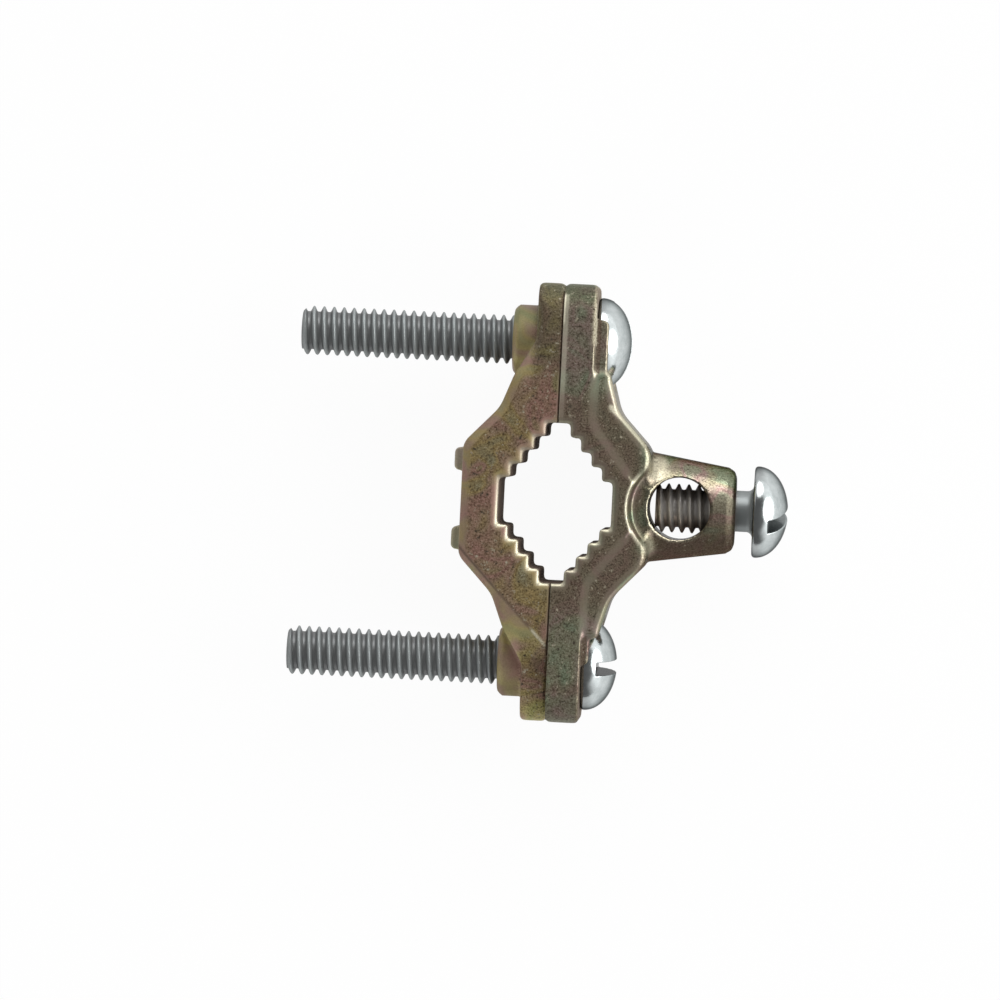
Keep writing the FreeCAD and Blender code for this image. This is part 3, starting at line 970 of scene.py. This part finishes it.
@dataclass
class LugJaw(CastJaw):
    """Jaw under the screw heads, with the wire lug."""

    lug_end: float = 22.65
    lug_end_radius: float = 5.3
    half_taper: float = 8.8
    end_rounding: float = 1.3
    wire_hole_radius: float = 3.93
    spot_face_radius: float = 5.88
    spot_face_level: float = 6.6
    spot_face_wall_spread: float = 0.5
    band_rounds: int = 40
    root_rounds: int = 50
    # Centres of the painted highlights where the lug grows out of the band, and the ends of the painted
    # highlight on the upper arm's outer edge
    upper_root_highlight: Pair = (12.6, 5.0)
    lower_root_highlight: Pair = (11.8, -5.0)
    arm_highlight_start: Pair = (6.45, 12.35)
    arm_highlight_end: Pair = (11.3, 8.25)

    def lug_radius(self, x: Points) -> Points:
        """Radius of the lug at places along it."""
        taper = math.radians(self.half_taper)
        cone = self.lug_end_radius + (self.lug_end - x) * math.tan(taper)
        centre = self.lug_end - self.end_rounding
        centre_radius = self.lug_end_radius + self.end_rounding * math.tan(taper)
        centre_radius -= self.end_rounding / math.cos(taper)
        into = np.clip(x - centre, 0.0, self.end_rounding)
        rounded = centre_radius + np.sqrt(self.end_rounding**2 - into**2)
        return np.where(x < centre + self.end_rounding * math.sin(taper), cone, rounded)

    def spot_face_wall(self, z: Points) -> Points:
        """Radius of the spot faces' spreading walls at height z."""
        return self.spot_face_radius + (np.abs(z) - self.spot_face_level) * self.spot_face_wall_spread

    def true_round_surfaces(self, mesh: Mesh) -> None:
        """Trues up the lug, the wire hole and the walls of its spot faces."""
        along_x = Vector((1, 0, 0))
        along_z = Vector((0, 0, 1))
        wire_hole = Vector((WIRE_HOLE_PLACE, 0, 0))
        self.true_up(mesh, Vector((0, 0, 0)), along_x, self.lug_radius)
        self.true_up(mesh, wire_hole, along_z, lambda z: np.full_like(z, self.wire_hole_radius))
        self.true_up(mesh, wire_hole, along_z, self.spot_face_wall, WIRE_HOLE_PLACE - 3.0)

    def smoothing_rounds(self, places: Points) -> Points:
        """Adds to the other rounds a soft step from the raised band down to the arms."""
        x, y, z = np.abs(places.T)
        by_band = (z > 7.0) & (x > LUG_EAR_THICKNESS - 1.0) & (y < 16.0) & (self.from_opening(places) > 1.2)
        from_hole = np.hypot(x - WIRE_HOLE_PLACE, y)
        by_band &= from_hole > self.spot_face_wall(z) + 1.0
        by_root = (z > 4.0) & (x > 11.2) & (x < 14.5) & (y < 8.0) & (from_hole > self.wire_hole_radius + 0.6)
        rounds = np.where(by_band, self.band_rounds, super().smoothing_rounds(places))
        return np.where(by_root, self.root_rounds, rounds)

    def masks(self, places: Points, normals: Points) -> dict[str, Points]:
        """Adds the glossy lug and outer sides, painted highlights on the upper arm's outer side and small
        spots, the brown middle, and painted shade on the lug's lower side.
        """
        masks = super().masks(places, normals)
        x, y, _ = places.T
        on_lug = ramp(10.0, 11.5, x)
        side = 1 - ramp(0.8, 0.95, np.abs(normals[:, 2]))
        outer = side * ramp(2.5, 3.8, x) * ramp(0.0, 0.4, normals[:, 0])
        low_side = ramp(0.1, 0.7, -normals[:, 1])
        # Painted shade on the lug's downward-facing side and on its lower half towards its end
        lower_right = ramp(3.0, 0.5, y) * ramp(16.5, 19.0, x)
        lug_shade = on_lug * largest(0.75 * low_side, 0.5 * lower_right)
        middle = (1 - on_lug) * (1 - side) * ramp(16.0, 12.0, np.abs(y))
        middle_film = 0.7 * middle * (1 - masks["polish"])
        masks["pressed_face"] = largest(masks["pressed_face"], 0.7 * on_lug)
        masks["gilding"] = on_lug * (0.05 + 0.15 * low_side)
        masks["tarnish"] = largest(masks["tarnish"], lug_shade, middle_film)
        masks["polish"] = largest(masks["polish"], on_lug, 0.8 * outer)
        # Painted highlight on the outer side of the upper arm
        masks["bare"] = largest(masks["bare"], 0.7 * outer * ramp(4.0, 8.0, y))
        for share, effects in self.spots(places):
            for name, effect in effects.items():
                if effect > 0:
                    masks[name] = largest(masks[name], effect * share)
                else:
                    masks[name] = masks[name] * (1 + effect * share)
        return masks

    def spots(self, places: Points) -> list[tuple[Points, dict[str, float]]]:
        """Finds the small spots of the front side that carry painted highlights or painted shade, or a dull
        finish.

        Args:
            places: Positions of the vertices.

        Returns:
            Share of each vertex in a spot, with what the spot adds to the masks, or takes away below 0.
        """
        x, y, z = places.T
        from_hole = np.hypot(x - WIRE_HOLE_PLACE, y)
        to_lower_left = (WIRE_HOLE_PLACE - x - y) / np.maximum(from_hole, 1e-6)
        front = z > 7.0

        # Painted highlights where the lug grows out of the band, above and below the wire hole
        upper_root_highlight = ramp(2.1, 0.8, np.linalg.norm(places[:, :2] - self.upper_root_highlight, axis=1))
        lower_root_highlight = ramp(1.6, 0.5, np.linalg.norm(places[:, :2] - self.lower_root_highlight, axis=1))

        # Painted highlights on the lower left stretch of the wire hole's rim, and of the arc round its spot
        # face
        hole_rim_highlight = ramp(4.5, 4.2, from_hole) * ramp(-0.1, 0.6, to_lower_left) * (z > 4.0)
        arc_rim_highlight = ramp(0.35, 0.1, np.abs(from_hole - self.spot_face_wall(JAW_HALF_DEPTH)))
        arc_rim_highlight *= ramp(-0.2, 0.4, to_lower_left) * (x < 12.5) * front

        # The dull foot of the guards, darkened with painted shade, and a painted highlight on the edge of
        # the upper ear beside them
        guard_foot_shade = (x > 4.05) * (x < 4.75) * ramp(14.5, 15.5, np.abs(y)) * (np.abs(z) < 7.6)
        ear_edge_highlight = ramp(3.6, 3.85, x) * (x < 4.4) * (z > 7.3)
        ear_edge_highlight *= ramp(19.5, 20.5, y) * ramp(25.8, 25.2, y)

        # The strip along the upper seam, lightened as a painted sheen, and a painted highlight at its upper
        # end
        seam_strip_sheen = ramp(0.75, 0.55, x) * ramp(9.5, 11.0, y) * front
        seam_highlight = ramp(0.35, 0.2, x) * ramp(22.0, 23.0, y)
        seam_highlight *= ramp(26.6, 26.0, y) * (z > 4.0)
        return [
            (upper_root_highlight * (z > 0), {"bare": 1.0, "polish": -0.45}),
            (lower_root_highlight * (z > 0), {"bare": 0.4, "polish": -0.6, "tarnish": -0.7}),
            (hole_rim_highlight, {"bare": 0.8}),
            (arc_rim_highlight, {"bare": 0.8, "tarnish": -0.8}),
            # Painted highlight along the upper arm's outer edge
            (ramp(0.5, 0.2, self.from_arm_highlight(places)) * front, {"bare": 0.9, "tarnish": -0.9}),
            (guard_foot_shade, {"tarnish": 0.8, "polish": -1.0}),
            (ear_edge_highlight, {"bare": 0.9, "polish": -1.0, "tarnish": -1.0}),
            (seam_strip_sheen, {"bare": 0.25, "pressed_face": -1.0}),
            (seam_highlight, {"bare": 1.0}),
        ]

    def from_arm_highlight(self, places: Points) -> Points:
        """Distance across the front from the stretch of the upper arm's outer edge that carries a painted
        highlight.
        """
        start = np.array(self.arm_highlight_start)
        along = np.array(self.arm_highlight_end) - start
        offset = places[:, :2] - start
        share = np.clip(offset @ along / (along @ along), 0.0, 1.0)
        return np.linalg.norm(offset - share[:, None] * along, axis=1)


@dataclass
class TappedJaw(CastJaw):
    """Jaw that the clamp screws are threaded into, with their round bosses."""

    boss_radius: float = 4.5
    crest_start: Pair = (0.0, -18.3)
    crest_end: Pair = (-11.9, -5.9)
    crest_rounds: int = 1
    seam_bevel: float = 0.9
    seam_groove: float = 0.4

    def true_round_surfaces(self, mesh: Mesh) -> None:
        """Trues up the two bosses, and opens a fine groove along the seam."""
        for end in (1, -1):
            boss = Vector((0, end * SCREW_OFFSET, 0))
            self.true_up(mesh, boss, Vector((1, 0, 0)), lambda x: np.full_like(x, self.boss_radius))
        places = vertex_places(mesh)
        drop = self.seam_groove * ramp(-0.22, -0.04, places[:, 0]) * (np.abs(places[:, 2]) > 5.0)
        places[:, 2] -= np.sign(places[:, 2]) * drop * ramp(5.0, 7.0, np.abs(places[:, 2]))
        move_vertices(mesh, places)

    def masks(self, places: Points, normals: Points) -> dict[str, Points]:
        """Adds gold all over, the clear yellow film of the bosses and lower sides with painted light there,
        a painted highlight and painted shade along the crest, and painted shade in the seam.
        """
        masks = super().masks(places, normals)
        x, y, z = places.T
        boss = ramp(-3.0, -4.2, x) * ramp(14.0, 17.0, np.abs(y))
        off_face = 1 - ramp(0.98, 0.995, np.abs(normals[:, 2]))
        low_side = ramp(-0.1, 0.8, -normals[:, 1]) * off_face
        low_end = ramp(-21.5, -24.0, y)
        pads = ramp(-11.9, -12.2, x)
        upper_ear = ramp(14.0, 19.0, y) * (1 - boss)
        # Clear yellow film on the bosses, the lower sides and the lower ear ends, with painted light lifting
        # the downward-facing sides
        yellow = np.clip(0.3 * boss + 0.85 * low_side + 0.4 * low_end * (1 - boss), 0.0, 1.0)

        # The crest over the lower facet carries a painted highlight near the seam and painted shade farther
        # out, and the seam carries painted shade
        crest = ramp(0.25, 0.06, self.from_crest(places)) * (z > JAW_HALF_DEPTH - 1.0)
        crest_highlight = crest * ramp(-2.5, -1.9, x)
        crest_shade = 0.8 * crest * ramp(-1.9, -2.7, x)
        seam = ramp(-0.4, -0.15, x) * (z > JAW_HALF_DEPTH - 1.5)

        masks["pressed_face"] *= 1 - boss
        masks["gilding"] = np.ones(len(places))
        masks["green_film"] = largest(masks["green_film"], 0.55 * upper_ear, 0.5 * pads)
        masks["clear_film"] = yellow * (masks["polish"] < 0.1)
        masks["polish"] = largest(masks["polish"], 0.2 * pads)
        masks["bare"] = largest(masks["bare"], crest_highlight, 0.3 * pads)
        # Painted shade on the crest and in the seam, and the lower ends of the bosses darker
        masks["tarnish"] = largest(masks["tarnish"], 0.5 * low_end * boss, crest_shade, seam)
        return masks

    def from_crest(self, places: Points) -> Points:
        """Distance from the line where the lower facet leaves the front face, as seen from the front."""
        along = np.array(self.crest_end) - np.array(self.crest_start)
        along /= np.linalg.norm(along)
        offset = places[:, :2] - np.array(self.crest_start)
        return np.abs(offset[:, 0] * along[1] - offset[:, 1] * along[0])

    def smoothing_rounds(self, places: Points) -> Points:
        """Keeps the crest over the lower facet sharper than the other edges."""
        by_crest = (self.from_crest(places) < 0.8) & (places[:, 2] > JAW_HALF_DEPTH - 1.0)
        return np.where(by_crest, self.crest_rounds, super().smoothing_rounds(places))


# Studio


@dataclass(frozen=True)
class SoftBox:
    """Round area light that points at the clamp."""

    name: str
    place: tuple[float, float, float]
    size: float
    brightness: float
    colour: str = "#FFFFFF"
    mirrored: bool = True

    def build(self) -> None:
        """Adds the light. Its brightness is what a mirror shows of it, and 1 is white."""
        lamp = bpy.data.lights.new(self.name, "AREA")
        lamp.shape = "DISK"
        lamp.size = self.size
        lamp.energy = self.brightness * math.pi * (math.pi * self.size**2 / 4)
        lamp.color = linear(self.colour)[:3]
        light = add_object(self.name, lamp)
        light.visible_glossy = self.mirrored
        light.location = self.place
        light.rotation_euler = Vector(self.place).to_track_quat("Z", "Y").to_euler()


@dataclass
class Studio:
    """White paper floor, soft light and the camera."""

    floor_height_mm: float = -8.0
    floor_size: float = 6.0
    room_brightness: float = 0.18
    paper_brightness: float = 1.1
    paper_way: Pair = (0.65, 0.76)
    paper_range: Pair = (-0.5, 0.1)
    overhead_range: Pair = (0.72, 0.5)
    camera_tilt_deg: tuple[float, float, float] = (-1.0, 3.0, 2.75)
    camera_distance_mm: float = 705.0
    camera_aim_mm: Pair = (-7.275, 0.295)
    lens: float = 200.0
    soft_boxes: list[SoftBox] = field(
        default_factory=lambda: [
            SoftBox("soft_box_above", (0.08, 0.7, 0.38), 0.65, 2.6),
            SoftBox("soft_box_right", (0.7, 0.08, 0.4), 0.75, 2.7),
            SoftBox("soft_fill_below", (-0.4, -0.6, 0.35), 0.65, 2.4, mirrored=False),
        ]
    )

    def add_floor(self) -> None:
        """Adds the paper that the clamp lies on."""
        half = self.floor_size / 2
        height = self.floor_height_mm * METRES_PER_MM
        mesh = bpy.data.meshes.new("studio_floor")
        corners = [(-half, -half), (half, -half), (half, half), (-half, half)]
        mesh.from_pydata([(x, y, height) for x, y in corners], [], [(0, 1, 2, 3)])
        mesh.materials.append(StudioPaper().material())
        floor = add_object("studio_floor", mesh)

    def add_surround(self) -> None:
        """Adds the dim room overhead, and the white paper that stands round the right and upper sides."""
        world = bpy.data.worlds.new("studio_surround")
        add = node_adder(world)
        way = add("TexCoord").outputs["Generated"]
        way_parts = add("SeparateXYZ", {"Vector": way})
        low = add("MapRange", {
            "Value": way_parts.outputs["Z"],
            "From Min": self.overhead_range[0],
            "From Max": self.overhead_range[1],
        })
        across = add("VectorMath", {"operation": "DOT_PRODUCT", 0: way, 1: (*self.paper_way, 0.0)})
        by_paper = add("MapRange", {
            "Value": across.outputs["Value"],
            "From Min": self.paper_range[0],
            "From Max": self.paper_range[1],
            "To Max": self.paper_brightness,
        })
        strength = add("Math", {
            "operation": "MULTIPLY_ADD",
            0: low.outputs["Result"],
            1: by_paper.outputs["Result"],
            2: self.room_brightness,
        })
        light = add("Background", {"Color": "#FFFFFF", "Strength": strength.outputs["Value"]})
        add("OutputWorld", {"Surface": light.outputs["Background"]})
        bpy.context.scene.world = world

    def add_camera(self) -> None:
        """Adds the camera at the photograph's viewing angle."""
        tilt_x, tilt_y, roll = [math.radians(angle) for angle in self.camera_tilt_deg]
        turned = Matrix.Rotation(tilt_y, 3, "Y") @ Matrix.Rotation(tilt_x, 3, "X")
        turned = turned @ Matrix.Rotation(roll, 3, "Z")
        right, up, back = turned.col
        aim = right * self.camera_aim_mm[0] + up * self.camera_aim_mm[1]
        data = bpy.data.cameras.new("camera")
        data.lens = self.lens
        data.clip_start = 0.01
        data.clip_end = 20.0
        camera = add_object("camera", data)
        camera.location = (aim + back * self.camera_distance_mm) * METRES_PER_MM
        camera.rotation_euler = turned.to_euler()
        bpy.context.scene.camera = camera

    def build(self) -> None:
        """Sets the stage."""
        self.add_floor()
        self.add_surround()
        for box in self.soft_boxes:
            box.build()
        self.add_camera()
        bpy.context.scene.view_settings.view_transform = "Standard"


def main() -> None:
    """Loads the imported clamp, dresses it and sets the studio."""
    logging.basicConfig(level=logging.INFO, format="%(name)s: %(message)s")
    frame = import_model()
    casting = ChromatedZincCasting().material()
    steel = ZincPlatedSteel().material()
    LugJaw("lug_jaw", JawSide.LUG).build(frame["nodes"]["lug_jaw"], casting)
    TappedJaw("tapped_jaw", JawSide.TAPPED).build(frame["nodes"]["tapped_jaw"], casting)
    clamp_screws = {
        "upper_clamp_screw": {"height": SCREW_OFFSET, "slot_turn": 90.0},
        "lower_clamp_screw": {"height": -SCREW_OFFSET, "slot_turn": 4.0},
    }
    screws = [
        *(
            SlottedScrew(node=node, head_base=LUG_EAR_THICKNESS, length=37.5, neck_length=3.0, **own)
            for node, own in clamp_screws.items()
        ),
        SlottedScrew(
            node="set_screw",
            head_base=24.85,
            height=0.0,
            length=12.35,
            slot_turn=20.0,
            neck_length=2.2,
            neck_flare=0.8,
            groove_shade_share=0.2,
            warm_tint_and_light_share=1.0,
        ),
    ]
    for screw in screws:
        screw.build(steel)
    Studio().build()


if __name__ == "__main__":
    main()
